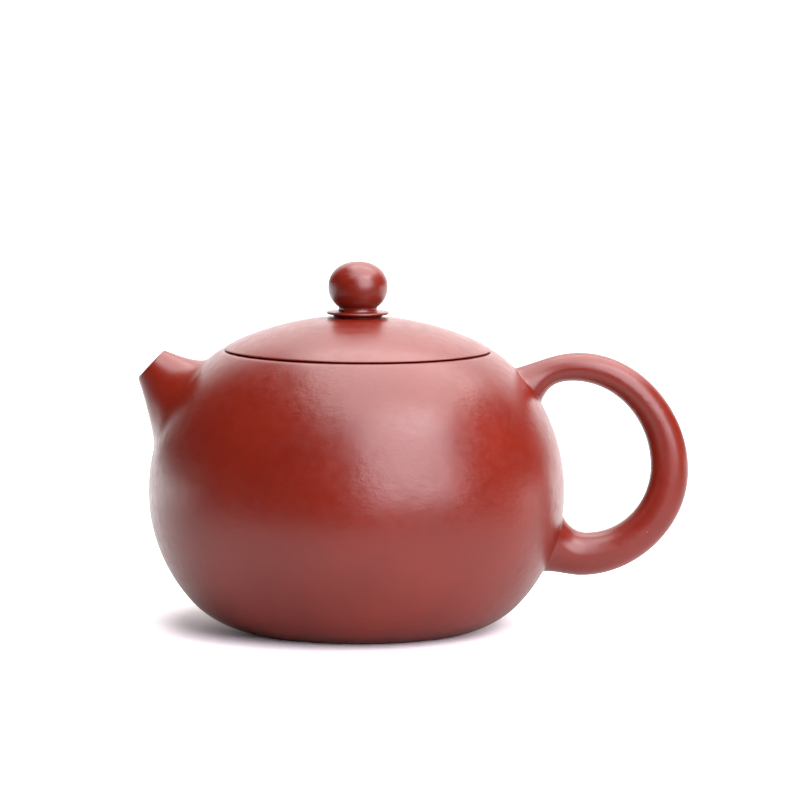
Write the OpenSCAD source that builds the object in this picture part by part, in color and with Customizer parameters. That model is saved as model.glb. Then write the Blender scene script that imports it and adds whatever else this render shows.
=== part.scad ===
/* [Body] */
// Radius of the body at the belly, its widest level
belly_r = 49.7; // [47:0.1:53]
// Height of the belly above the table
belly_z = 31.9; // [31.2:0.1:32.8]
// Radius of the arc that rises from the belly
side_r = 42.8; // [41:0.1:44]
// Angle above the belly where the side arc runs into the shoulder arc
side_turn = 34; // [32:1:36]
// Radius of the shoulder arc
shoulder_r = 34.8; // [33.8:0.1:36]
// Angle where the shoulder arc runs into the crown of the lid
shoulder_turn = 68; // [66:1:70]
// Radius of the arc that falls from the belly
hip_r = 38.4; // [37.6:0.1:39.2]
// Angle below the belly where the hip arc runs into the heel arc
hip_turn = 42; // [40:1:43]
// Angle of the heel arc where it lands on the table
heel_turn = 73; // [71:1:76]
// Thickness of the body wall
wall = 2.8; // [2.2:0.1:3.2]

/* [Base] */
// Width of the flat ring that the pot stands on
foot_w = 3; // [2:0.1:3.6]
// Distance from the foot ring in to the separate disc that closes the bottom
disc_inset = 1.6; // [1.1:0.1:4.6]
// Height of the pressed-in hollow at the centre of the base
hollow_h = 1.8; // [1:0.1:2.2]
// Height of the inside floor above the table
floor_z = 4.6; // [4.2:0.1:5.4]

/* [Mouth and lid] */
// Height of the joint between body and lid
seam_z = 65.5; // [65:0.1:66.2]
// Gap between the mouth and the resting lid
seam_gap = 0.2; // [0.1:0.05:0.3]
// Rounding of the two edges that face each other across the joint
edge_round = 0.5; // [0.3:0.05:0.7]
// Width of the ledge at the joint, from the outer face in to the bore of the mouth
ledge_w = 5.4; // [4.6:0.1:6.6]
// Depth of the ring that stiffens the mouth from inside
mouth_ring_h = 5; // [4:0.1:6]
// Thickness of the lid
lid_wall = 2.6; // [2.2:0.1:3]
// Depth of the lid flange below the joint
flange_h = 8; // [6:0.1:10]
// Wall thickness of the lid flange
flange_wall = 2.4; // [1.8:0.1:3]
// Gap all round between the flange and the mouth
flange_gap = 0.4; // [0.3:0.05:0.6]

/* [Knob] */
// Radius of the knob
knob_r = 7.1; // [6:0.1:8.2]
// Half the height of the knob
knob_half_h = 6.05; // [5.2:0.05:7]
// Fullness of the knob, where 2 is an ellipse and more is squarer
knob_fullness = 2.15; // [2:0.05:2.5]
// Radius of the neck under the knob
neck_r = 4.8; // [4:0.1:5.4]
// Radius of the thin collar under the knob
collar_r = 7.45; // [6.8:0.05:8.2]
// Thickness of the collar at its rim
collar_rim_h = 0.5; // [0.4:0.05:0.8]
// Radius of the collar where it stands on the lid
collar_foot_r = 5.7; // [5.4:0.1:6.2]
// Radius of the vent that runs down through knob and lid
vent_r = 1.1; // [0.8:0.05:1.4]

/* [Spout] */
// Distance that the middle of the lip stands out from the wall at its level
spout_reach = 12.15; // [11.45:0.05:13.85]
// Height of the middle of the lip
lip_z = 61.95; // [61:0.05:63]
// Outer radius of the lip
lip_r = 4.55; // [4.2:0.05:5]
// Slope of the lip's plane
lip_tilt = 47; // [43:1:51]
// Rounding of the lip's outer edge
lip_round = 0.9; // [0.6:0.05:1.2]
// Radius of the hole at the lip
pour_r = 2.5; // [2.1:0.05:2.7]
// Extra half-width of the root where it flares on to the body
spout_flare = 12.2; // [10:0.1:13]
// Angle on the shoulder arc where the top of the spout leaves the body
spout_top_turn = 51.5; // [50.5:0.1:52.5]
// Angle on the side arc where the underside of the spout leaves the body
spout_low_turn = 4.8; // [3.6:0.1:6]

/* [Strainer] */
// Radius of the pierced ball behind the spout, and of its hole in the wall
strainer_r = 7; // [6.6:0.1:7.2]
// Wall thickness of the ball
strainer_wall = 1.5; // [1.2:0.1:1.8]
// Radius of each hole in the ball
strainer_hole_r = 0.9; // [0.7:0.05:1]
// Angle on the side arc where the ball sits, square to the wall
strainer_turn = 30.3; // [29:0.1:31.5]

/* [Handle] */
// Distance that the handle stands out from the belly
handle_reach = 29.6; // [27:0.1:33]
// Height of the top of the handle
handle_top_z = 65.4; // [64.6:0.1:66]
// Height where the handle stands out farthest
handle_far_z = 37; // [35:0.1:39]
// Height of the underside of the handle
handle_low_z = 11.8; // [11.4:0.1:13]
// Thickness at the top, where the handle is thinnest
handle_thin = 6.8; // [6:0.1:7.6]
// Thickness where the handle stands out farthest
handle_mid = 9.1; // [8.2:0.1:10]
// Thickness at the bottom, where the handle is thickest
handle_thick = 10.35; // [9.4:0.05:11]

/* [Hidden] */

$fn = 96;
clay = [0.62, 0.19, 0.15];
clay_inside = [0.55, 0.2, 0.16];
clay_dark = [0.5, 0.14, 0.11];
arc_step = 4;
eps = 0.01;

// Centres of the arcs that make up the outer shape, each tangent to the next
side_cx = belly_r - side_r;
shoulder_cx = side_cx + (side_r - shoulder_r) * cos(side_turn);
shoulder_cz = belly_z + (side_r - shoulder_r) * sin(side_turn);
crown_r = shoulder_r + shoulder_cx / cos(shoulder_turn);
crown_cz = shoulder_cz - (crown_r - shoulder_r) * sin(shoulder_turn);
hip_cx = belly_r - hip_r;
heel_r = (belly_z - hip_r * sin(hip_turn)) / (sin(heel_turn) - sin(hip_turn));
heel_cx = hip_cx + (hip_r - heel_r) * cos(hip_turn);
heel_cz = belly_z - (hip_r - heel_r) * sin(hip_turn);

// Levels and radii that follow from the arcs
crown_z = crown_cz + crown_r;
shoulder_z = belly_z + side_r * sin(side_turn);
hip_z = belly_z - hip_r * sin(hip_turn);
foot_r = heel_cx + heel_r * cos(heel_turn) - edge_round;
hollow_r = foot_r - foot_w;
disc_r = hollow_r - disc_inset;
hollow_curve_r = (hollow_r * hollow_r + hollow_h * hollow_h) / (2 * hollow_h);
lid_rim_z = seam_z + seam_gap;
ring_z = seam_z - mouth_ring_h;
inner_floor = asin((heel_cz - floor_z) / (heel_r - wall));

// Width of the strainer's seat on the wall, round its hole
seat_w = strainer_wall * 0.8;

function arc(cx, cz, r, a, b) =
    let (n = max(3, ceil(abs(b - a) / arc_step)))
    [for (i = [0:n]) [cx + r * cos(a + (b - a) * i / n), cz + r * sin(a + (b - a) * i / n)]];

function bezier_point(p, t) =
    pow(1 - t, 3) * p[0] + 3 * pow(1 - t, 2) * t * p[1] + 3 * (1 - t) * t * t * p[2] + pow(t, 3) * p[3];

// Points of a Bezier curve, without its last one
function bezier(p, n) = [for (i = [0:n - 1]) bezier_point(p, i / n)];

// A soft corner that leaves a and reaches b, bulging towards c
function soft_corner(a, c, b) =
    [for (i = [0:4]) let (t = i / 4) (1 - t) * (1 - t) * a + 2 * t * (1 - t) * c + t * t * b];

// Curve from p, where it runs level, to q, where it runs upright
function level_to_upright(p, q, k) =
    [p, [p.x + k * (q.x - p.x), p.y], [q.x, q.y + k * (p.y - q.y)], q];

// Outer radius of the body at a height
function body_x(z) =
    z > shoulder_z ? shoulder_cx + sqrt(pow(shoulder_r, 2) - pow(z - shoulder_cz, 2))
    : z > belly_z ? side_cx + sqrt(pow(side_r, 2) - pow(z - belly_z, 2))
    : z > hip_z ? hip_cx + sqrt(pow(hip_r, 2) - pow(z - belly_z, 2))
    : heel_cx + sqrt(pow(heel_r, 2) - pow(z - heel_cz, 2));

// Bore of the mouth, and the radius where its ring meets the shell on the ledge
mouth_r = body_x(seam_z) - ledge_w;
ring_out_r = mouth_r + ledge_w * 0.43;
flange_r = mouth_r - flange_gap;

// Angle on the shoulder arc, drawn inset by a thickness, at a height or at a radius
function shoulder_angle(z, inset) = asin((z - shoulder_cz) / (shoulder_r - inset));
function shoulder_angle_at(r, inset) = acos((r - shoulder_cx) / (shoulder_r - inset));

// Outer shape from the table to an angle on the shoulder, drawn inset by a thickness
function body_arcs(inset, heel_angle, top_angle) = concat(
    arc(heel_cx, heel_cz, heel_r - inset, -heel_angle, -hip_turn),
    arc(hip_cx, belly_z, hip_r - inset, -hip_turn + arc_step / 2, 0),
    arc(side_cx, belly_z, side_r - inset, arc_step / 2, side_turn),
    arc(shoulder_cx, shoulder_cz, shoulder_r - inset, side_turn + arc_step / 2, top_angle));

// Crown of the lid, from the shoulder to the axis or to a given radius
function crown_arcs(inset, low_angle, stop_x) = concat(
    arc(shoulder_cx, shoulder_cz, shoulder_r - inset, low_angle, shoulder_turn),
    arc(0, crown_cz, crown_r - inset, shoulder_turn + 1, acos(stop_x / (crown_r - inset))));

function reversed(list) = [for (i = [len(list) - 1:-1:0]) list[i]];

// Closed surface through rings of points with the same count, in the order of their own right-hand turn
module skin(rings) {
    sides = len(rings[0]);
    last = (len(rings) - 1) * sides;
    walls = [for (j = [0:len(rings) - 2]) for (i = [0:sides - 1])
        let (a = j * sides + i, b = j * sides + (i + 1) % sides)
        each [[a, b + sides, b], [a, a + sides, b + sides]]];
    caps = [[for (i = [0:sides - 1]) i], [for (i = [sides - 1:-1:0]) last + i]];
    polyhedron([for (ring = rings) each ring], concat(walls, caps));
}

// Ring around a centre c, with u as its half-width in the XZ plane and w as its half-width along Y
function ring(c, u, w, sides) =
    [for (i = [0:sides - 1]) let (a = 360 * i / sides)
        [c.x + u.x * cos(a), w * sin(a), c.y + u.y * cos(a)]];

module body_solid() {
    rotate_extrude()
        polygon(concat([[0, 0]],
            body_arcs(0, heel_turn, shoulder_angle(seam_z, 0)),
            crown_arcs(0, shoulder_angle(seam_z, 0) + 1, 0)));
}

module cavity() {
    rotate_extrude()
        polygon(concat([[0, floor_z]],
            body_arcs(wall, inner_floor, shoulder_angle(ring_z, wall)),
            [[0, ring_z]]));
}

module wall_hole() {
    translate([-side_cx, 0, belly_z])
        rotate([0, strainer_turn - 90, 0])
            translate([0, 0, side_r - 2 * wall])
                cylinder(r = strainer_r, h = 3 * wall);
}

module body_shell() {
    outer = body_arcs(0, heel_turn - 2, shoulder_angle(seam_z - edge_round, 0));
    inner = reversed(body_arcs(wall, inner_floor, shoulder_angle_at(ring_out_r, wall)));
    rim_r = body_x(seam_z);
    rim = soft_corner(outer[len(outer) - 1], [rim_r, seam_z], [rim_r - edge_round, seam_z]);
    hollow = [for (r = [disc_r, (disc_r + hollow_r) / 2, hollow_r]) [r, hollow_z(r)]];
    foot = soft_corner([foot_r, 0], [foot_r + edge_round, 0], outer[0]);
    color(clay)
        difference() {
            rotate_extrude()
                polygon(concat(outer, rim, [[ring_out_r, seam_z]], inner,
                    [[disc_r, floor_z]], hollow, foot));
            wall_hole();
        }
}

// Height of the pressed-in hollow under the base at a radius
function hollow_z(r) = hollow_h - hollow_curve_r + sqrt(pow(hollow_curve_r, 2) - r * r);

module base_disc() {
    steps = 6;
    color(clay_dark)
        rotate_extrude()
            polygon(concat([for (i = [0:steps]) [disc_r * i / steps, hollow_z(disc_r * i / steps)]],
                [[disc_r, floor_z], [0, floor_z]]));
}

module mouth_ring() {
    wall_line = arc(shoulder_cx, shoulder_cz, shoulder_r - wall,
        shoulder_angle(ring_z, wall), shoulder_angle_at(ring_out_r, wall));
    toe = wall_line[0] - [edge_round * 2, 0];
    mouth_edge = soft_corner([mouth_r + edge_round, seam_z],
        [mouth_r, seam_z], [mouth_r, seam_z - edge_round]);
    color(clay_inside)
        rotate_extrude()
            polygon(concat([toe], wall_line, [[ring_out_r, seam_z]], mouth_edge,
                [[mouth_r, ring_z + edge_round * 2], [mouth_r + edge_round, ring_z]]));
}

lip_up = [cos(lip_tilt), sin(lip_tilt)];
lip_out = [-sin(lip_tilt), cos(lip_tilt)];
lip_c = [-body_x(lip_z) - spout_reach, lip_z];
spout_top_z = shoulder_cz + shoulder_r * sin(spout_top_turn);
spout_low_z = belly_z + side_r * sin(spout_low_turn);
spout_top_root = [wall * 0.6 - body_x(spout_top_z), spout_top_z];
spout_low_root = [wall * 0.5 - body_x(spout_low_z), spout_low_z];
spout_top = [lip_c + lip_r * lip_up, lip_c + lip_r * lip_up + spout_reach * [0.214, -0.066],
             spout_top_root - spout_reach * [0.543, 0.099], spout_top_root];
spout_low = [lip_c - lip_r * lip_up, lip_c - lip_r * lip_up + spout_reach * [0.173, -0.502],
             spout_low_root + spout_reach * [-0.09, 0.905], spout_low_root];

// Middle of the spout, its half-height and its half-width, from the lip at 0 to the root at 1
function spout_mid(t) = (bezier_point(spout_top, t) + bezier_point(spout_low, t)) / 2;
function spout_half(t) = (bezier_point(spout_top, t) - bezier_point(spout_low, t)) / 2;
function spout_w(t) = lip_r * (0.98 + 0.79 * t) + spout_flare * pow(t, 3.5);
function bore_r(t) = pour_r + (strainer_r - pour_r) * pow(max(t, 0) / 0.75, 1.2);

module spout_outside() {
    sides = 40;
    steps = 18;
    lip = [for (a = [90:-22.5:22.5])
        let (inset = lip_round * (1 - cos(a)), back = lip_round * (1 - sin(a)))
        ring(lip_c - back * lip_out, (lip_r - inset) * lip_up, lip_r - inset, sides)];
    flare = [for (i = [1:steps]) let (t = i / steps) ring(spout_mid(t), spout_half(t), spout_w(t), sides)];
    skin(reversed(concat(lip, flare)));
}

module spout_bore() {
    sides = 32;
    steps = 10;
    reach = 0.92;
    edge = lip_round * 0.6;
    lip = [for (a = [90:-30:0])
        let (r = pour_r + edge * (1 - cos(a)))
        ring(lip_c - edge * (1 - sin(a)) * lip_out, r * lip_up, r, sides)];
    mouth = [ring(lip_c + lip_out, (pour_r + edge) * lip_up, pour_r + edge, sides)];
    rest = [for (i = [1:steps])
        let (t = reach * i / steps, u = spout_half(t) / norm(spout_half(t)))
        ring(spout_mid(t), bore_r(t) * u, bore_r(t), sides)];
    skin(reversed(concat(mouth, lip, rest)));
}

module spout() {
    color(clay)
        difference() {
            spout_outside();
            spout_bore();
            body_solid();
        }
}

// Tapered peg that pierces one hole of the strainer
module hole_peg(outer_r) {
    hull() {
        translate([0, 0, outer_r - 2 * strainer_wall])
            cylinder(r = strainer_hole_r * 0.9, h = eps, $fn = 10);
        translate([0, 0, outer_r + 1])
            cylinder(r = strainer_hole_r * 1.1, h = eps, $fn = 10);
    }
}

module strainer() {
    ball_r = strainer_r + seat_w;
    rows = [[0, 1], [24, 6], [48, 12], [70, 16]];
    color(clay_inside)
        intersection() {
            translate([-side_cx, 0, belly_z])
                rotate([0, strainer_turn - 90, 0])
                    translate([0, 0, side_r - wall])
                        difference() {
                            sphere(r = ball_r, $fn = 48);
                            sphere(r = ball_r - strainer_wall, $fn = 40);
                            for (row = rows)
                                for (i = [0:row[1] - 1])
                                    rotate([180 - row[0], 0, 360 * (i + 0.5) / row[1]])
                                        hole_peg(ball_r);
                        }
            cavity();
        }
}

// Rails of the handle in the XZ plane: its outer edge and its inner edge, from top root to low root
top_out = [belly_r + 3.4, handle_top_z];
top_in = [belly_r + 1.7, handle_top_z - handle_thin];
far_out = [belly_r + handle_reach, handle_far_z];
far_in = [belly_r + handle_reach - handle_mid, handle_far_z + 1];
low_out = [belly_r + 4.1, handle_low_z];
low_in = [belly_r + 5.4, handle_low_z + handle_thick];
root_depth = 1.2;
function root_at(z) = [body_x(z) - root_depth, z];
top_root_out = root_at(handle_top_z - 3.9);
top_root_in = root_at(handle_top_z - 14);
low_root_out = root_at(handle_low_z + 0.4);
low_root_in = root_at(handle_low_z + 18.6);

module handle() {
    sides = 32;
    bend = 12;
    end = 8;
    out_round = 0.53;
    in_round = 0.55;
    outer = concat(
        bezier([top_root_out, top_root_out + [6, 1], top_out - [6.9, 0], top_out], end),
        bezier(level_to_upright(top_out, far_out, out_round), bend),
        bezier(reversed(level_to_upright(low_out, far_out, out_round)), bend),
        bezier([low_out, low_out - [3.8, 0], low_root_out + [4.6, 1.1], low_root_out], end),
        [low_root_out]);
    inner = concat(
        bezier([top_root_in, top_root_in + [0.6, 5], top_in - [4.9, 0], top_in], end),
        bezier(level_to_upright(top_in, far_in, in_round), bend),
        bezier(reversed(level_to_upright(low_in, far_in, in_round)), bend),
        bezier([low_in, low_in - [3.3, 0], low_root_in + [1, -5.7], low_root_in], end),
        [low_root_in]);
    count = len(outer) - 1;
    rings = [for (i = [0:count])
        let (top = max(0, 1 - i / end), low = max(0, 1 - (count - i) / end))
        let (middle = handle_thin + (handle_thick - handle_thin) * i / count)
        ring((outer[i] + inner[i]) / 2, (outer[i] - inner[i]) / 2,
             middle * 0.5 + 0.1 + 2.8 * (pow(top, 3) + pow(low, 3)), sides)];
    color(clay)
        difference() {
            skin(reversed(rings));
            body_solid();
        }
}

module lid_dome() {
    rim_r = shoulder_cx + (shoulder_r) * cos(shoulder_angle(lid_rim_z, 0));
    outer = crown_arcs(0, shoulder_angle(lid_rim_z + edge_round, 0), 0);
    inner = reversed(crown_arcs(lid_wall, shoulder_angle(lid_rim_z, lid_wall), 0));
    rim = soft_corner([rim_r - edge_round, lid_rim_z], [rim_r, lid_rim_z], outer[0]);
    color(clay)
        difference() {
            rotate_extrude()
                polygon(concat(rim, outer, inner));
            vent();
        }
}

module lid_flange() {
    color(clay_inside)
        rotate_extrude()
            intersection() {
                polygon(concat([[flange_r - flange_wall, seam_z - flange_h + edge_round],
                    [flange_r - flange_wall + edge_round, seam_z - flange_h],
                    [flange_r - edge_round, seam_z - flange_h], [flange_r, seam_z - flange_h + edge_round],
                    [flange_r, crown_z], [flange_r - flange_wall, crown_z]]));
                polygon(concat([[0, 0], [belly_r, 0], [belly_r, lid_rim_z]],
                    crown_arcs(lid_wall, shoulder_angle(lid_rim_z, lid_wall), 0)));
            }
}

collar_z = crown_z + 1.1;
knob_z = collar_z + 0.15;
knob_cz = knob_z + knob_half_h * 0.942;

module vent() {
    cylinder(r = vent_r, h = 2 * crown_z);
}

module knob_collar() {
    foot_z = crown_cz + sqrt(pow(crown_r, 2) - pow(collar_foot_r, 2));
    rim_z = collar_z - collar_rim_h;
    color(clay)
        difference() {
            rotate_extrude()
                polygon(concat([[0, crown_z]],
                    reversed(arc(0, crown_cz, crown_r, 90 - asin(collar_foot_r / crown_r), 90 - eps)),
                    soft_corner([collar_foot_r, foot_z], [collar_foot_r, rim_z], [collar_r - 0.2, rim_z]),
                    arc(collar_r - collar_rim_h / 2, collar_z - collar_rim_h / 2, collar_rim_h / 2, -60, 60),
                    [[neck_r + 0.8, collar_z], [neck_r, knob_z], [0, knob_z]]));
            vent();
        }
}

// Point on the knob's outline, where angle 0 is its widest level and 90 its top
function knob_point(a) = let (e = 2 / knob_fullness, side = a < 0 ? -1 : 1)
    [knob_r * pow(cos(a), e), knob_cz + side * knob_half_h * pow(abs(sin(a)), e)];

module knob() {
    start = -50;
    low = knob_point(start);
    color(clay)
        difference() {
            rotate_extrude()
                polygon(concat([[0, knob_z], [neck_r, knob_z]],
                    soft_corner([neck_r - 0.2, knob_z + 0.35], [neck_r - 0.2, knob_z + 0.9], low),
                    [for (a = [start + arc_step:arc_step * 1.25:88]) knob_point(a)],
                    [[0, knob_cz + knob_half_h]]));
            vent();
        }
}

body_shell();
base_disc();
mouth_ring();
spout();
strainer();
handle();
lid_dome();
lid_flange();
knob_collar();
knob();
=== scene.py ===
# Round clay teapot with a short spout and a loop handle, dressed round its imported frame
import math

import bpy
from mathutils import Matrix, Vector


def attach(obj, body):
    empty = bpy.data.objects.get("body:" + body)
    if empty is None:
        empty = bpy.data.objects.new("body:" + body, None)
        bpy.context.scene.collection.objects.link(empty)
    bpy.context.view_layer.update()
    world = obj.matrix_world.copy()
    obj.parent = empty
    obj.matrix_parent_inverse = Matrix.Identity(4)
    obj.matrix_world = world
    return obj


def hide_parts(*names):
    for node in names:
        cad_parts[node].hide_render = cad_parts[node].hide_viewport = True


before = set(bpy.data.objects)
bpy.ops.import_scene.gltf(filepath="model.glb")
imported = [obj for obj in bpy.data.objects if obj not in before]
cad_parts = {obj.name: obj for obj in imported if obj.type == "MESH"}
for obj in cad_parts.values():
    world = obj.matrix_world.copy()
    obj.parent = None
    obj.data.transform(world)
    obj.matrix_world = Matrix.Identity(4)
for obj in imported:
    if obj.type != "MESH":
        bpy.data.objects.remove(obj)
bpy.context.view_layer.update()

print("frame loaded:", sorted(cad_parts))

# Sizes are in millimetres here, and become metres where a point is placed
mm = 0.001
ringTurns = 192
arcStep = 1.5

pot = {
    "bellyR": 49.7, "bellyZ": 31.9,          # widest level
    "sideR": 42.8, "sideTurn": 34.0,         # arc above the belly
    "shoulderR": 34.8, "shoulderTurn": 68.0,
    "hipR": 38.4, "hipTurn": 42.0,           # arc below the belly
    "heelTurn": 73.0,
    "wall": 2.8,
    "footW": 3.0, "discInset": 1.6, "hollowH": 1.8, "floorZ": 4.6,
    "seamZ": 65.5, "edge": 0.5,
    "ledgeW": 5.4, "ledgeShare": 0.43, "mouthRingH": 5.0,
}

sideX = pot["bellyR"] - pot["sideR"]
shoulderX = sideX + (pot["sideR"] - pot["shoulderR"]) * math.cos(math.radians(pot["sideTurn"]))
shoulderZ = pot["bellyZ"] + (pot["sideR"] - pot["shoulderR"]) * math.sin(math.radians(pot["sideTurn"]))
crownR = pot["shoulderR"] + shoulderX / math.cos(math.radians(pot["shoulderTurn"]))
crownZ = shoulderZ - (crownR - pot["shoulderR"]) * math.sin(math.radians(pot["shoulderTurn"]))
hipX = pot["bellyR"] - pot["hipR"]
sinHip = math.sin(math.radians(pot["hipTurn"]))
heelR = (pot["bellyZ"] - pot["hipR"] * sinHip) / (math.sin(math.radians(pot["heelTurn"])) - sinHip)
heelX = hipX + (pot["hipR"] - heelR) * math.cos(math.radians(pot["hipTurn"]))
heelZ = pot["bellyZ"] - (pot["hipR"] - heelR) * sinHip
crownTop = crownZ + crownR
footR = heelX + heelR * math.cos(math.radians(pot["heelTurn"])) - pot["edge"]
hollowR = footR - pot["footW"]
discR = hollowR - pot["discInset"]
hollowCurve = (hollowR ** 2 + pot["hollowH"] ** 2) / (2 * pot["hollowH"])
ringZ = pot["seamZ"] - pot["mouthRingH"]


def arc(cx, cz, r, a, b, step=arcStep):
    count = max(3, math.ceil(abs(b - a) / step))
    turns = [math.radians(a + (b - a) * i / count) for i in range(count + 1)]
    return [(cx + r * math.cos(t), cz + r * math.sin(t)) for t in turns]


def softCorner(a, c, b, count=7):
    points = []
    for i in range(count + 1):
        t = i / count
        points.append(tuple((1 - t) ** 2 * p + 2 * t * (1 - t) * q + t * t * r for p, q, r in zip(a, c, b)))
    return points


def bezier(p, t):
    return Vector(p[0]) * (1 - t) ** 3 + Vector(p[1]) * 3 * t * (1 - t) ** 2 \
        + Vector(p[2]) * 3 * t * t * (1 - t) + Vector(p[3]) * t ** 3


def shoulderAngle(z, inset):
    return math.degrees(math.asin((z - shoulderZ) / (pot["shoulderR"] - inset)))


def shoulderAngleAt(r, inset):
    return math.degrees(math.acos((r - shoulderX) / (pot["shoulderR"] - inset)))


def bodyRadius(z):
    if z > pot["bellyZ"] + pot["sideR"] * math.sin(math.radians(pot["sideTurn"])):
        return shoulderX + math.sqrt(pot["shoulderR"] ** 2 - (z - shoulderZ) ** 2)
    if z > pot["bellyZ"]:
        return sideX + math.sqrt(pot["sideR"] ** 2 - (z - pot["bellyZ"]) ** 2)
    if z > pot["bellyZ"] - pot["hipR"] * sinHip:
        return hipX + math.sqrt(pot["hipR"] ** 2 - (z - pot["bellyZ"]) ** 2)
    return heelX + math.sqrt(heelR ** 2 - (z - heelZ) ** 2)


# Bore of the mouth, and where its ring meets the shell on the ledge
mouthR = bodyRadius(pot["seamZ"]) - pot["ledgeW"]
ringOutR = mouthR + pot["ledgeW"] * pot["ledgeShare"]


def bodyArcs(inset, heelAngle, topAngle):
    return (arc(heelX, heelZ, heelR - inset, -heelAngle, -pot["hipTurn"])
            + arc(hipX, pot["bellyZ"], pot["hipR"] - inset, -pot["hipTurn"] + arcStep, 0)
            + arc(sideX, pot["bellyZ"], pot["sideR"] - inset, arcStep, pot["sideTurn"])
            + arc(shoulderX, shoulderZ, pot["shoulderR"] - inset, pot["sideTurn"] + arcStep, topAngle))


def crownArcs(inset, lowAngle, stopX):
    top = math.degrees(math.acos(stopX / (crownR - inset)))
    return (arc(shoulderX, shoulderZ, pot["shoulderR"] - inset, lowAngle, pot["shoulderTurn"])
            + arc(0, crownZ, crownR - inset, pot["shoulderTurn"] + 0.8, top, 0.8))


def hollowHeight(r):
    return pot["hollowH"] - hollowCurve + math.sqrt(hollowCurve ** 2 - r * r)


# How far a point stands off the pot's outer face, and which way is straight out of that face
def standOff(point):
    x, y, z = (c / mm for c in point)
    r = math.hypot(x, y)
    if z < pot["bellyZ"]:
        cx, cz, arcR = hipX, pot["bellyZ"], pot["hipR"]
        if math.degrees(math.atan2(z - cz, r - cx)) < -pot["hipTurn"]:
            cx, cz, arcR = heelX, heelZ, heelR
    else:
        cx, cz, arcR = sideX, pot["bellyZ"], pot["sideR"]
        if math.degrees(math.atan2(z - cz, r - cx)) > pot["sideTurn"]:
            cx, cz, arcR = shoulderX, shoulderZ, pot["shoulderR"]
    away = math.hypot(r - cx, z - cz)
    outR, outZ = (r - cx) / away, (z - cz) / away
    return away - arcR, Vector((outR * x / r, outR * y / r, outZ))


def clearSelection():
    bpy.ops.object.select_all(action="DESELECT")


def finishMode(piece, name, smoothAngle=38):
    bpy.ops.object.mode_set(mode="OBJECT")
    piece.name = name
    piece.data.name = name
    clearSelection()
    piece.select_set(True)
    bpy.context.view_layer.objects.active = piece
    bpy.ops.object.shade_smooth_by_angle(angle=math.radians(smoothAngle))
    return piece


# A turned piece: one point is drawn out along the outline, then spun round the pot's axis
def turned(name, outline, closed=True, smoothAngle=38):
    points = [Vector((x * mm, 0, z * mm)) for x, z in outline]
    if closed:
        points.append(points[0])
    clearSelection()
    bpy.ops.mesh.primitive_plane_add(size=mm)
    piece = bpy.context.object
    bpy.ops.object.mode_set(mode="EDIT")
    bpy.ops.mesh.select_all(action="SELECT")
    bpy.ops.mesh.merge(type="CENTER")
    bpy.ops.transform.translate(value=points[0])
    for before, after in zip(points, points[1:]):
        if (after - before).length > 1e-7:
            bpy.ops.mesh.extrude_vertices_move(TRANSFORM_OT_translate={"value": after - before})
    bpy.ops.mesh.select_all(action="SELECT")
    bpy.ops.mesh.spin(steps=ringTurns, angle=2 * math.pi, center=(0, 0, 0), axis=(0, 0, 1))
    bpy.ops.mesh.select_all(action="SELECT")
    bpy.ops.mesh.remove_doubles(threshold=2e-6)
    bpy.ops.mesh.normals_make_consistent(inside=False)
    return finishMode(piece, name, smoothAngle)


# Rings of a drawn-out piece are (centre x, centre z, lean, half-thickness in the plane, half-width)
def shapeRing(old, new):
    centre = Vector((new[0], 0, new[1])) * mm
    bpy.ops.transform.rotate(value=-old[2], orient_axis="Y", center_override=centre)
    bpy.ops.transform.resize(value=(new[3] / old[3], new[4] / old[4], 1), center_override=centre)
    bpy.ops.transform.rotate(value=new[2], orient_axis="Y", center_override=centre)


def drawnOut(name, rings, sides):
    clearSelection()
    first = rings[0]
    bpy.ops.mesh.primitive_circle_add(vertices=sides, radius=mm, location=(0, 0, 0))
    piece = bpy.context.object
    bpy.ops.object.mode_set(mode="EDIT")
    bpy.ops.mesh.select_all(action="SELECT")
    bpy.ops.transform.translate(value=Vector((first[0], 0, first[1])) * mm)
    shapeRing((0, 0, 0, 1, 1), first)
    for old, new in zip(rings, rings[1:]):
        step = Vector((new[0] - old[0], 0, new[1] - old[1])) * mm
        bpy.ops.mesh.extrude_region_move(TRANSFORM_OT_translate={"value": step})
        shapeRing(old, new)
    return piece


def railRing(top, low, width):
    middle = (top + low) / 2
    half = (top - low) / 2
    return (middle.x, middle.y, math.atan2(half.y, half.x), half.length, width)


# Clay luted on and smoothed out: near the pot's face the piece sinks on to it without a step
def luted(piece, reach, count=None, proud=0.012):
    for vertex in list(piece.data.vertices)[:count]:
        height, out = standOff(vertex.co)
        settled = height * (1 - math.exp(-height / reach)) if height > 0 else 0
        vertex.co += out * (settled + proud - height) * mm


def cutWith(piece, cutter):
    clearSelection()
    piece.select_set(True)
    bpy.context.view_layer.objects.active = piece
    cut = piece.modifiers.new("cut", "BOOLEAN")
    cut.operation = "DIFFERENCE"
    cut.solver = "EXACT"
    cut.object = cutter
    bpy.ops.object.modifier_apply(modifier=cut.name)
    bpy.data.objects.remove(cutter, do_unlink=True)


strainer = {"radius": 7.0, "turn": 30.3}
strainerTilt = math.radians(strainer["turn"])
strainerOut = Vector((-math.cos(strainerTilt), 0, math.sin(strainerTilt)))
strainerCentre = Vector((-sideX, 0, pot["bellyZ"])) + strainerOut * (pot["sideR"] - pot["wall"])


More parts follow.
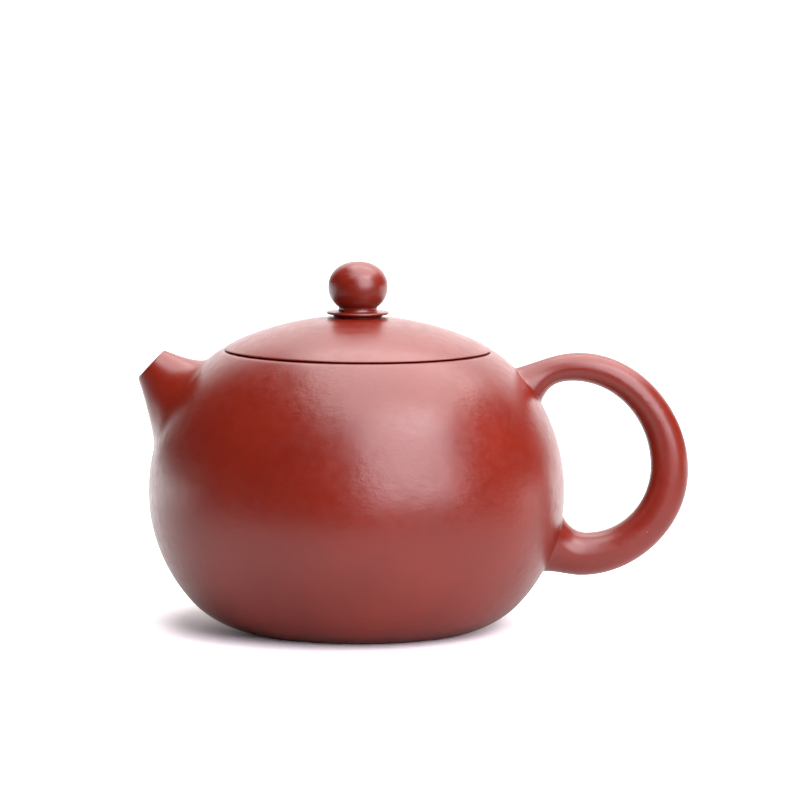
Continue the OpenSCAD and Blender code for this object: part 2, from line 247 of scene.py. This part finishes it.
def makeBody():
    edge = pot["edge"]
    outer = bodyArcs(0, pot["heelTurn"] - 2, shoulderAngle(pot["seamZ"] - edge, 0))
    innerFloor = math.degrees(math.asin((heelZ - pot["floorZ"]) / (heelR - pot["wall"])))
    inner = bodyArcs(pot["wall"], innerFloor, shoulderAngleAt(ringOutR, pot["wall"]))[::-1]
    seamZ = pot["seamZ"]
    rimR = bodyRadius(seamZ)
    rim = softCorner(outer[-1], (rimR, seamZ), (rimR - edge, seamZ))
    hollow = [(r, hollowHeight(r)) for r in (discR, (discR + hollowR) / 2, hollowR)]
    foot = softCorner((footR, 0), (footR + edge, 0), outer[0])
    outline = outer + rim + [(ringOutR, seamZ)] + inner + [(discR, pot["floorZ"])] + hollow + foot[:-1]
    body = turned("potBody", outline)
    bpy.ops.mesh.primitive_cylinder_add(
        vertices=72, radius=strainer["radius"] * mm, depth=3 * pot["wall"] * mm,
        location=(strainerCentre + strainerOut * pot["wall"] * 0.5) * mm,
        rotation=strainerOut.to_track_quat("Z", "Y").to_euler())
    cutWith(body, bpy.context.object)
    return finishMode(body, "potBody")


def makeBaseDisc():
    steps = 16
    under = [(discR * i / steps, hollowHeight(discR * i / steps)) for i in range(steps + 1)]
    return turned("baseDisc", under + [(discR, pot["floorZ"]), (0, pot["floorZ"])], closed=False)


def makeMouthRing():
    edge = pot["edge"]
    seamZ = pot["seamZ"]
    wallLine = arc(shoulderX, shoulderZ, pot["shoulderR"] - pot["wall"],
                   shoulderAngle(ringZ, pot["wall"]), shoulderAngleAt(ringOutR, pot["wall"]))
    toe = (wallLine[0][0] - edge * 2, wallLine[0][1])
    mouthEdge = softCorner((mouthR + edge, seamZ), (mouthR, seamZ), (mouthR, seamZ - edge))
    lowEdge = softCorner((mouthR, ringZ + edge * 2), (mouthR, ringZ), (mouthR + edge * 2, ringZ))
    return turned("mouthRing", [toe] + wallLine + [(ringOutR, seamZ)] + mouthEdge + lowEdge)


spout = {
    "reach": 12.15, "lipZ": 61.95, "lipR": 4.55, "lipTilt": 47.0, "lipRound": 0.55,
    "pourR": 2.5, "pourEdge": 0.95, "topTurn": 51.5, "lowTurn": 4.8,
    "lipWide": 0.98, "rootWide": 0.79, "flare": 12.2, "flarePower": 3.5,
    "boreEnd": 0.9, "boreFull": 0.75, "borePower": 1.2,    # shares of the way from lip to root
    "blend": 1.5,       # how widely the root is smoothed on to the body
    "sides": 80, "rings": 64, "lipSteps": 8, "pourSteps": 6, "boreSteps": 24,
}
lipUp = Vector((math.cos(math.radians(spout["lipTilt"])), math.sin(math.radians(spout["lipTilt"]))))
lipOut = Vector((-lipUp.y, lipUp.x))
lipMiddle = Vector((-bodyRadius(spout["lipZ"]) - spout["reach"], spout["lipZ"]))
spoutTopZ = shoulderZ + pot["shoulderR"] * math.sin(math.radians(spout["topTurn"]))
spoutLowZ = pot["bellyZ"] + pot["sideR"] * math.sin(math.radians(spout["lowTurn"]))
topRoot = Vector((pot["wall"] * 0.6 - bodyRadius(spoutTopZ), spoutTopZ))
lowRoot = Vector((pot["wall"] * 0.5 - bodyRadius(spoutLowZ), spoutLowZ))
lipTop = lipMiddle + lipUp * spout["lipR"]
lipLow = lipMiddle - lipUp * spout["lipR"]
spoutTop = [lipTop, lipTop + spout["reach"] * Vector((0.214, -0.066)),
            topRoot - spout["reach"] * Vector((0.543, 0.099)), topRoot]
spoutLow = [lipLow, lipLow + spout["reach"] * Vector((0.173, -0.502)),
            lowRoot + spout["reach"] * Vector((-0.09, 0.905)), lowRoot]


def spoutWidth(t):
    taper = spout["lipWide"] + spout["rootWide"] * t
    return spout["lipR"] * taper + spout["flare"] * t ** spout["flarePower"]


def boreRadius(t):
    widening = (t / spout["boreFull"]) ** spout["borePower"]
    return spout["pourR"] + (strainer["radius"] - spout["pourR"]) * widening


def roundRing(centre, up, radius):
    return railRing(centre + up * radius, centre - up * radius, radius)


def makeSpout():
    rings = []
    count = spout["rings"]
    for i in range(count, 0, -1):                    # root to lip, outside
        t = i / count
        rings.append(railRing(bezier(spoutTop, t), bezier(spoutLow, t), spoutWidth(t)))
    for i in range(spout["lipSteps"] + 1):           # round over the lip
        a = math.radians(90 * i / spout["lipSteps"])
        back = spout["lipRound"] * (1 - math.sin(a))
        rings.append(roundRing(lipMiddle - lipOut * back, lipUp,
                               spout["lipR"] - spout["lipRound"] * (1 - math.cos(a))))
    for i in range(spout["pourSteps"] + 1):          # and into the bore
        a = math.radians(90 - 90 * i / spout["pourSteps"])
        back = spout["pourEdge"] * (1 - math.sin(a))
        rings.append(roundRing(lipMiddle - lipOut * back, lipUp,
                               spout["pourR"] + spout["pourEdge"] * (1 - math.cos(a))))
    for i in range(1, spout["boreSteps"] + 1):       # bore, widening to the strainer
        t = spout["boreEnd"] * i / spout["boreSteps"]
        top, low = bezier(spoutTop, t), bezier(spoutLow, t)
        rings.append(roundRing((top + low) / 2, (top - low).normalized(), boreRadius(t)))
    piece = drawnOut("spoutPiece", rings, spout["sides"])
    bpy.ops.mesh.select_all(action="SELECT")
    bpy.ops.mesh.region_to_loop()
    bpy.ops.mesh.bridge_edge_loops()
    bpy.ops.mesh.select_all(action="SELECT")
    bpy.ops.mesh.normals_make_consistent(inside=False)
    finishMode(piece, "spoutPiece")
    luted(piece, spout["blend"], spout["rings"] * spout["sides"])    # outside only
    return piece


loop = {
    "reach": 29.6, "topZ": 65.4, "farZ": 37.0, "lowZ": 11.8,
    "thin": 6.8, "mid": 9.1, "thick": 10.35,
    "topOut": 3.4, "topIn": 1.7, "lowOut": 4.1, "lowIn": 5.4,    # where it turns, past the belly
    "topRootOut": 3.9, "topRootIn": 14.0,                        # roots on the wall, down from topZ
    "lowRootOut": 0.4, "lowRootIn": 18.6,                        # and up from lowZ
    "outerEase": 0.53, "innerEase": 0.55, "farRise": 1.0,
    "rootDepth": 1.2, "rootFlare": 2.8, "blend": 0.7,
    "sides": 64, "bend": 40, "end": 26,
}


def rootAt(z):
    return Vector((bodyRadius(z) - loop["rootDepth"], z))


def levelToUpright(p, q, k):
    return [p, Vector((p.x + k * (q.x - p.x), p.y)), Vector((q.x, q.y + k * (p.y - q.y))), q]


def makeHandle():
    r = pot["bellyR"]
    topOut = Vector((r + loop["topOut"], loop["topZ"]))
    topIn = Vector((r + loop["topIn"], loop["topZ"] - loop["thin"]))
    farOut = Vector((r + loop["reach"], loop["farZ"]))
    farIn = Vector((r + loop["reach"] - loop["mid"], loop["farZ"] + loop["farRise"]))
    lowOut = Vector((r + loop["lowOut"], loop["lowZ"]))
    lowIn = Vector((r + loop["lowIn"], loop["lowZ"] + loop["thick"]))
    topRootOut = rootAt(loop["topZ"] - loop["topRootOut"])
    topRootIn = rootAt(loop["topZ"] - loop["topRootIn"])
    lowRootOut = rootAt(loop["lowZ"] + loop["lowRootOut"])
    lowRootIn = rootAt(loop["lowZ"] + loop["lowRootIn"])
    outer = [
        ([topRootOut, topRootOut + Vector((6, 1)), topOut - Vector((6.9, 0)), topOut], loop["end"]),
        (levelToUpright(topOut, farOut, loop["outerEase"]), loop["bend"]),
        (levelToUpright(lowOut, farOut, loop["outerEase"])[::-1], loop["bend"]),
        ([lowOut, lowOut - Vector((3.8, 0)), lowRootOut + Vector((4.6, 1.1)), lowRootOut], loop["end"]),
    ]
    inner = [
        ([topRootIn, topRootIn + Vector((0.6, 5)), topIn - Vector((4.9, 0)), topIn], loop["end"]),
        (levelToUpright(topIn, farIn, loop["innerEase"]), loop["bend"]),
        (levelToUpright(lowIn, farIn, loop["innerEase"])[::-1], loop["bend"]),
        ([lowIn, lowIn - Vector((3.3, 0)), lowRootIn + Vector((1, -5.7)), lowRootIn], loop["end"]),
    ]
    # The width swells over the two end stretches, and grows evenly from top to bottom
    endSpan, bendSpan = 8, 12
    whole = 2 * (endSpan + bendSpan)
    rings = []
    done = 0
    for (outRail, count), (inRail, _), span in zip(outer, inner, (endSpan, bendSpan, bendSpan, endSpan)):
        steps = count + 1 if done + span == whole else count
        for i in range(steps):
            t = i / count
            place = done + span * t
            top = max(0, 1 - place / endSpan)
            low = max(0, 1 - (whole - place) / endSpan)
            middle = loop["thin"] + (loop["thick"] - loop["thin"]) * place / whole
            width = middle * 0.5 + 0.1 + loop["rootFlare"] * (top ** 3 + low ** 3)
            rings.append(railRing(bezier(outRail, t), bezier(inRail, t), width))
        done += span
    piece = drawnOut("loopHandle", rings, loop["sides"])
    bpy.ops.mesh.select_all(action="SELECT")
    bpy.ops.mesh.region_to_loop()
    bpy.ops.mesh.edge_face_add()
    bpy.ops.mesh.select_all(action="SELECT")
    bpy.ops.mesh.normals_make_consistent(inside=False)
    finishMode(piece, "loopHandle")
    luted(piece, loop["blend"])
    return piece


lid = {
    "gap": 0.2, "edgeIn": 1.1, "edgeUp": 0.6, "wall": 2.6, "ventR": 1.1,
    "flangeH": 8.0, "flangeWall": 2.4, "flangeGap": 0.4,
    "collarRise": 1.1, "collarR": 7.45, "collarFootR": 5.7,
    "collarRimH": 0.65,      # a heavier rim than the solid's, as burnishing leaves it
    "neckRise": 0.15, "neckR": 4.8,
    "knobR": 7.1, "knobHalfH": 6.05, "knobFullness": 2.15, "knobSeat": 0.942,
    "knobLowTurn": -50, "knobTopTurn": 78, "knobStep": 2,
}
collarZ = crownTop + lid["collarRise"]
knobZ = collarZ + lid["neckRise"]
knobCz = knobZ + lid["knobHalfH"] * lid["knobSeat"]


def makeLidDome():
    rimZ = pot["seamZ"] + lid["gap"]
    rimR = bodyRadius(rimZ)
    outer = crownArcs(0, shoulderAngle(rimZ + lid["edgeUp"], 0), lid["ventR"])
    inner = crownArcs(lid["wall"], shoulderAngle(rimZ, lid["wall"]), lid["ventR"])[::-1]
    rim = softCorner((rimR - lid["edgeIn"], rimZ), (rimR - 0.1, rimZ + 0.15), outer[0])
    return turned("lidDome", rim[:-1] + outer + inner)


def makeLidFlange():
    edge = pot["edge"]
    outR = mouthR - lid["flangeGap"]
    inR = outR - lid["flangeWall"]
    lowZ = pot["seamZ"] - lid["flangeH"]
    topIn = crownZ + math.sqrt((crownR - lid["wall"]) ** 2 - inR ** 2)
    topOut = shoulderZ + math.sqrt((pot["shoulderR"] - lid["wall"]) ** 2 - (outR - shoulderX) ** 2)
    inFoot = softCorner((inR, lowZ + edge), (inR, lowZ), (inR + edge, lowZ))
    outFoot = softCorner((outR - edge, lowZ), (outR, lowZ), (outR, lowZ + edge))
    topMiddle = ((outR + inR) / 2, (topOut + topIn) / 2)
    return turned("lidFlange", inFoot + outFoot + [(outR, topOut), topMiddle, (inR, topIn)])


def makeKnobCollar():
    footR, neckR, ventR = lid["collarFootR"], lid["neckR"], lid["ventR"]
    footZ = crownZ + math.sqrt(crownR ** 2 - footR ** 2)
    rimZ = collarZ - lid["collarRimH"]
    rimHalf = lid["collarRimH"] / 2
    ventTurn, footTurn = (math.degrees(math.acos(r / crownR)) for r in (ventR, footR))
    under = arc(0, crownZ, crownR, ventTurn, footTurn)
    foot = softCorner((footR, footZ), (footR, rimZ), (lid["collarR"] - 0.2, rimZ))
    rim = arc(lid["collarR"] - rimHalf, collarZ - rimHalf, rimHalf, -80, 80, 16)
    neck = [(neckR + 0.8, collarZ), (neckR, knobZ), (ventR, knobZ)]
    return turned("knobCollar", under + foot + rim + neck)


def knobPoint(a):
    power = 2 / lid["knobFullness"]
    side = -1 if a < 0 else 1
    a = math.radians(a)
    across = lid["knobR"] * math.cos(a) ** power
    return across, knobCz + side * lid["knobHalfH"] * abs(math.sin(a)) ** power


def makeKnob():
    neckR, ventR, step = lid["neckR"], lid["ventR"], lid["knobStep"]
    low = knobPoint(lid["knobLowTurn"])
    neck = softCorner((neckR - 0.2, knobZ + 0.35), (neckR - 0.2, knobZ + 0.9), low)
    ball = [knobPoint(a) for a in range(lid["knobLowTurn"] + step, lid["knobTopTurn"], step)]
    top = knobPoint(lid["knobTopTurn"])
    mouth = softCorner(top, (ventR, top[1] + 0.06), (ventR, top[1] - 0.4))    # round into the vent
    return turned("pearlKnob", [(ventR, knobZ), (neckR, knobZ)] + neck[:-1] + [low] + ball + mouth)


def shaderStart(name):
    material = bpy.data.materials.new(name)
    material.use_nodes = True
    tree = material.node_tree
    return material, tree.nodes, tree.links, tree.nodes["Principled BSDF"]


def noiseAt(nodes, links, coord, scale, detail=3.0, rough=0.5):
    noise = nodes.new("ShaderNodeTexNoise")
    noise.inputs["Scale"].default_value = scale
    noise.inputs["Detail"].default_value = detail
    noise.inputs["Roughness"].default_value = rough
    links.new(coord, noise.inputs["Vector"])
    return noise.outputs["Fac"]


def spread(nodes, links, value, fromLow, fromHigh, toLow, toHigh):
    span = nodes.new("ShaderNodeMapRange")
    ends = {"From Min": fromLow, "From Max": fromHigh, "To Min": toLow, "To Max": toHigh}
    for socket, number in ends.items():
        span.inputs[socket].default_value = number
    links.new(value, span.inputs["Value"])
    return span.outputs["Result"]


def raised(nodes, links, height, depth, under=None):
    bump = nodes.new("ShaderNodeBump")
    bump.inputs["Strength"].default_value = 1
    bump.inputs["Distance"].default_value = depth
    links.new(height, bump.inputs["Height"])
    if under:
        links.new(under, bump.inputs["Normal"])
    return bump.outputs["Normal"]


def colourBetween(nodes, links, factor, a, b):
    mix = nodes.new("ShaderNodeMix")
    mix.data_type = "RGBA"
    for socket, colour in (("A", a), ("B", b)):
        slot = [s for s in mix.inputs if s.name == socket and s.type == "RGBA"][0]
        if isinstance(colour, tuple):
            slot.default_value = (*colour, 1)
        else:
            links.new(colour, slot)
    links.new(factor, mix.inputs["Factor"])
    return [s for s in mix.outputs if s.type == "RGBA"][0]


burnished = {
    "deep": (0.142, 0.0073, 0.0024), "light": (0.178, 0.0108, 0.0036), "cloudScale": 45,
    "ior": 1.6, "roughLow": 0.28, "roughHigh": 0.36,
    "grainScale": 1400, "grainDepth": 0.000006, "fineScale": 420, "fineDepth": 0.000015,
    "speck": (0.5, 0.2, 0.13), "speckScale": 230, "speckHeight": 0.00008,
    "creaseScale": (430, 430, 800), "creaseDepth": 0.0001, "creasePatches": 70,
}


def makeBurnishedClay():
    material, nodes, links, bsdf = shaderStart("burnishedClay")
    coord = nodes.new("ShaderNodeTexCoord").outputs["Object"]
    broad = noiseAt(nodes, links, coord, burnished["cloudScale"], 4)
    grain = noiseAt(nodes, links, coord, burnished["grainScale"], 2)
    fine = noiseAt(nodes, links, coord, burnished["fineScale"], 4)
    colour = colourBetween(nodes, links, spread(nodes, links, broad, 0.3, 0.7, 0, 1),
                           burnished["deep"], burnished["light"])
    cells = nodes.new("ShaderNodeTexVoronoi")
    cells.inputs["Scale"].default_value = burnished["speckScale"]
    links.new(coord, cells.inputs["Vector"])
    near = spread(nodes, links, cells.outputs["Distance"], 0.03, 0.055, 1, 0)
    chosen = nodes.new("ShaderNodeSeparateColor")
    links.new(cells.outputs["Color"], chosen.inputs["Color"])
    rare = spread(nodes, links, chosen.outputs["Red"], 0.93, 0.95, 0, 1)    # few cells carry a speck
    speck = nodes.new("ShaderNodeMath")
    speck.operation = "MULTIPLY"
    links.new(near, speck.inputs[0])
    links.new(rare, speck.inputs[1])
    colour = colourBetween(nodes, links, speck.outputs[0], colour, burnished["speck"])
    links.new(colour, bsdf.inputs["Base Color"])
    links.new(spread(nodes, links, fine, 0.3, 0.7, burnished["roughLow"], burnished["roughHigh"]),
              bsdf.inputs["Roughness"])
    bsdf.inputs["IOR"].default_value = burnished["ior"]
    flat = nodes.new("ShaderNodeMapping")            # creases left by the rib run round the pot
    flat.inputs["Scale"].default_value = burnished["creaseScale"]
    links.new(coord, flat.inputs["Vector"])
    creases = noiseAt(nodes, links, flat.outputs["Vector"], 1, 5, 0.62)
    where = noiseAt(nodes, links, coord, burnished["creasePatches"], 2)
    patches = spread(nodes, links, where, 0.46, 0.62, 0.12, 1)
    creased = nodes.new("ShaderNodeMath")
    creased.operation = "MULTIPLY"
    links.new(creases, creased.inputs[0])
    links.new(patches, creased.inputs[1])
    normal = raised(nodes, links, grain, burnished["grainDepth"])
    normal = raised(nodes, links, fine, burnished["fineDepth"], normal)
    normal = raised(nodes, links, creased.outputs[0], burnished["creaseDepth"], normal)
    normal = raised(nodes, links, speck.outputs[0], burnished["speckHeight"], normal)
    links.new(normal, bsdf.inputs["Normal"])
    return material


matt = {
    "ior": 1.5, "cloudScale": 60, "grainScale": 1100,
    "insideClay": {"deep": (0.15, 0.012, 0.005), "light": (0.2, 0.018, 0.008),
                   "roughLow": 0.7, "roughHigh": 0.85, "grainDepth": 0.000024},
    "baseClay": {"deep": (0.12, 0.01, 0.0045), "light": (0.17, 0.015, 0.007),
                 "roughLow": 0.75, "roughHigh": 0.9, "grainDepth": 0.000036},
}


def makeMattClay(name):
    clay = matt[name]
    material, nodes, links, bsdf = shaderStart(name)
    coord = nodes.new("ShaderNodeTexCoord").outputs["Object"]
    broad = noiseAt(nodes, links, coord, matt["cloudScale"], 4)
    grain = noiseAt(nodes, links, coord, matt["grainScale"], 3, 0.6)
    cloud = spread(nodes, links, broad, 0.3, 0.7, 0, 1)
    links.new(colourBetween(nodes, links, cloud, clay["deep"], clay["light"]), bsdf.inputs["Base Color"])
    links.new(spread(nodes, links, grain, 0.3, 0.7, clay["roughLow"], clay["roughHigh"]),
              bsdf.inputs["Roughness"])
    bsdf.inputs["IOR"].default_value = matt["ior"]
    links.new(raised(nodes, links, grain, clay["grainDepth"]), bsdf.inputs["Normal"])
    return material


studio = {
    "cameraAt": (0.0102, -0.85, 0.15), "cameraTip": 83.537, "cameraRoll": 0.45, "lens": 161.3,
    "key": 5.5, "keyAt": (0.46, -0.75, 0.52), "keyTarget": (0, 0, 0.03), "keySize": (0.9, 1.04),
    "keyColour": (0.98, 0.98, 1.04),
    "top": 4.7, "topAt": (0.34, 0.0, 1.0), "topTarget": (0.34, 0.0, 0), "topSize": (1.33, 1.41),
    "tableHalf": (6, 4), "tableFront": -0.17,
    # What the table is to the eye, to soft light, and in reflections near the pot and far from it; to the
    # eye it is tinted pink, a painted tint standing in for red light thrown from the pot into its shadow
    "floorSeen": (1.14, 1.06, 1.1), "floorBounce": 0.74, "floorGloss": 0.42, "floorGlossFar": 0.126,
    "glossFrom": 0.09, "glossTo": 0.3,
    "farGlow": 2.3, "glowFrom": -0.02, "glowTo": 0.17,     # behind the pot the table fades into light
    "backLeft": 1.75, "backRight": 2.25, "backWay": (0.08, 1.0, 0.36), "backFrom": 0.68, "backTo": 0.98,
    "dark": 0.03, "white": 1.1,
}


def areaLight(name, centre, target, size, radiance, colour=(1, 1, 1)):
    width, height = size
    clearSelection()
    bpy.ops.object.light_add(type="AREA", location=centre)
    lamp = bpy.context.object
    lamp.name = name
    lamp.rotation_euler = (Vector(centre) - Vector(target)).to_track_quat("Z", "Y").to_euler()
    lamp.data.shape = "RECTANGLE"
    lamp.data.size = width
    lamp.data.size_y = height
    lamp.data.energy = radiance * math.pi * width * height
    lamp.data.color = colour
    lamp.visible_camera = False
    return lamp


def makeFloor():
    clearSelection()
    bpy.ops.mesh.primitive_plane_add(size=2)
    floor = bpy.context.object
    floor.name = "whiteTable"
    bpy.ops.object.mode_set(mode="EDIT")
    bpy.ops.mesh.select_all(action="SELECT")
    halfX, halfY = studio["tableHalf"]
    bpy.ops.transform.resize(value=(halfX, halfY, 1), center_override=(0, 0, 0))
    bpy.ops.transform.translate(value=(0, halfY + studio["tableFront"], 0))
    bpy.ops.object.mode_set(mode="OBJECT")
    material, nodes, links, bsdf = shaderStart("whiteTable")
    nodes.remove(bsdf)
    out = nodes["Material Output"]
    coord = nodes.new("ShaderNodeTexCoord").outputs["Object"]
    place = nodes.new("ShaderNodeSeparateXYZ")
    links.new(coord, place.inputs[0])
    behind = spread(nodes, links, place.outputs["Y"], studio["glowFrom"], studio["glowTo"], 0, 1)
    away = nodes.new("ShaderNodeVectorMath")
    away.operation = "LENGTH"
    links.new(coord, away.inputs[0])
    gloss = spread(nodes, links, away.outputs["Value"], studio["glossFrom"], studio["glossTo"],
                   studio["floorGloss"], studio["floorGlossFar"])
    paper = nodes.new("ShaderNodeBsdfDiffuse")
    ray = nodes.new("ShaderNodeLightPath")
    bounce = colourBetween(nodes, links, ray.outputs["Is Glossy Ray"], (studio["floorBounce"],) * 3, gloss)
    # to the eye the table is pink-tinted: painted red bounce light in the pot's shadow
    links.new(colourBetween(nodes, links, ray.outputs["Is Camera Ray"], bounce, studio["floorSeen"]),
              paper.inputs["Color"])
    glow = nodes.new("ShaderNodeEmission")
    glow.inputs["Strength"].default_value = studio["farGlow"]
    both = nodes.new("ShaderNodeMixShader")
    links.new(behind, both.inputs["Fac"])
    links.new(paper.outputs[0], both.inputs[1])
    links.new(glow.outputs[0], both.inputs[2])
    links.new(both.outputs[0], out.inputs["Surface"])
    floor.data.materials.append(material)
    return floor


def makeWorld():
    world = bpy.data.worlds.new("studio")
    bpy.context.scene.world = world
    world.use_nodes = True
    nodes, links = world.node_tree.nodes, world.node_tree.links
    nodes.clear()
    coord = nodes.new("ShaderNodeTexCoord").outputs["Generated"]
    way = nodes.new("ShaderNodeSeparateXYZ")
    links.new(coord, way.inputs[0])
    side = spread(nodes, links, way.outputs["X"], -0.9, 0.9, studio["backLeft"], studio["backRight"])
    lean = nodes.new("ShaderNodeVectorMath")    # the bright backdrop reaches farther forward overhead
    lean.operation = "DOT_PRODUCT"
    lean.inputs[1].default_value = studio["backWay"]
    links.new(coord, lean.inputs[0])
    back = nodes.new("ShaderNodeMapRange")
    back.interpolation_type = "SMOOTHSTEP"
    back.inputs["From Min"].default_value = studio["backFrom"]
    back.inputs["From Max"].default_value = studio["backTo"]
    links.new(lean.outputs["Value"], back.inputs["Value"])
    level = nodes.new("ShaderNodeMath")
    level.operation = "MULTIPLY"
    links.new(side, level.inputs[0])
    links.new(back.outputs["Result"], level.inputs[1])
    lifted = nodes.new("ShaderNodeMath")
    lifted.operation = "ADD"
    lifted.inputs[1].default_value = studio["dark"]
    links.new(level.outputs[0], lifted.inputs[0])
    walls = nodes.new("ShaderNodeBackground")
    walls.inputs["Color"].default_value = (1, 1, 1, 1)
    links.new(lifted.outputs[0], walls.inputs["Strength"])
    white = nodes.new("ShaderNodeBackground")
    white.inputs["Color"].default_value = (1, 1, 1, 1)
    white.inputs["Strength"].default_value = studio["white"]
    both = nodes.new("ShaderNodeMixShader")
    links.new(nodes.new("ShaderNodeLightPath").outputs["Is Camera Ray"], both.inputs["Fac"])
    links.new(walls.outputs[0], both.inputs[1])
    links.new(white.outputs[0], both.inputs[2])
    links.new(both.outputs[0], nodes.new("ShaderNodeOutputWorld").inputs["Surface"])


def makeCamera():
    clearSelection()
    bpy.ops.object.camera_add(location=studio["cameraAt"])
    camera = bpy.context.object
    camera.name = "tableCamera"
    camera.matrix_world = (Matrix.Translation(studio["cameraAt"])
                           @ Matrix.Rotation(math.radians(studio["cameraTip"]), 4, "X")
                           @ Matrix.Rotation(math.radians(studio["cameraRoll"]), 4, "Z"))
    camera.data.sensor_width = 36
    camera.data.lens = studio["lens"]
    camera.data.clip_start = 0.01
    bpy.context.scene.camera = camera


def makeStudio():
    makeCamera()
    makeWorld()
    makeFloor()
    areaLight("keyBox", studio["keyAt"], studio["keyTarget"], studio["keySize"], studio["key"],
              studio["keyColour"])
    areaLight("topBox", studio["topAt"], studio["topTarget"], studio["topSize"], studio["top"])
    scene = bpy.context.scene
    scene.view_settings.view_transform = "Standard"
    scene.view_settings.look = "None"


makeStudio()
print("studio ready")

burnishedClay = makeBurnishedClay()
insideClay = makeMattClay("insideClay")
baseClay = makeMattClay("baseClay")
print("clays ready")

pieces = [
    (makeBody, "body_shell", "pot", "clay", burnishedClay),
    (makeBaseDisc, "base_disc", "pot", "clay_base", baseClay),
    (makeMouthRing, "mouth_ring", "pot", "clay_inside", insideClay),
    (makeSpout, "spout", "pot", "clay", burnishedClay),
    (makeHandle, "handle", "pot", "clay", burnishedClay),
    (makeLidDome, "lid_dome", "lid", "clay", burnishedClay),
    (makeLidFlange, "lid_flange", "lid", "clay_inside", insideClay),
    (makeKnobCollar, "knob_collar", "lid", "clay", burnishedClay),
    (makeKnob, "knob", "lid", "clay", burnishedClay),
]
for make, node, body, slot, clay in pieces:
    piece = make()
    piece.data.materials.clear()
    piece.data.materials.append(clay)
    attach(piece, body)
    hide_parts(node)
    print(piece.name, "made,", len(piece.data.polygons), "faces")

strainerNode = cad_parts["strainer"]
strainerNode.data.materials.clear()
strainerNode.data.materials.append(insideClay)
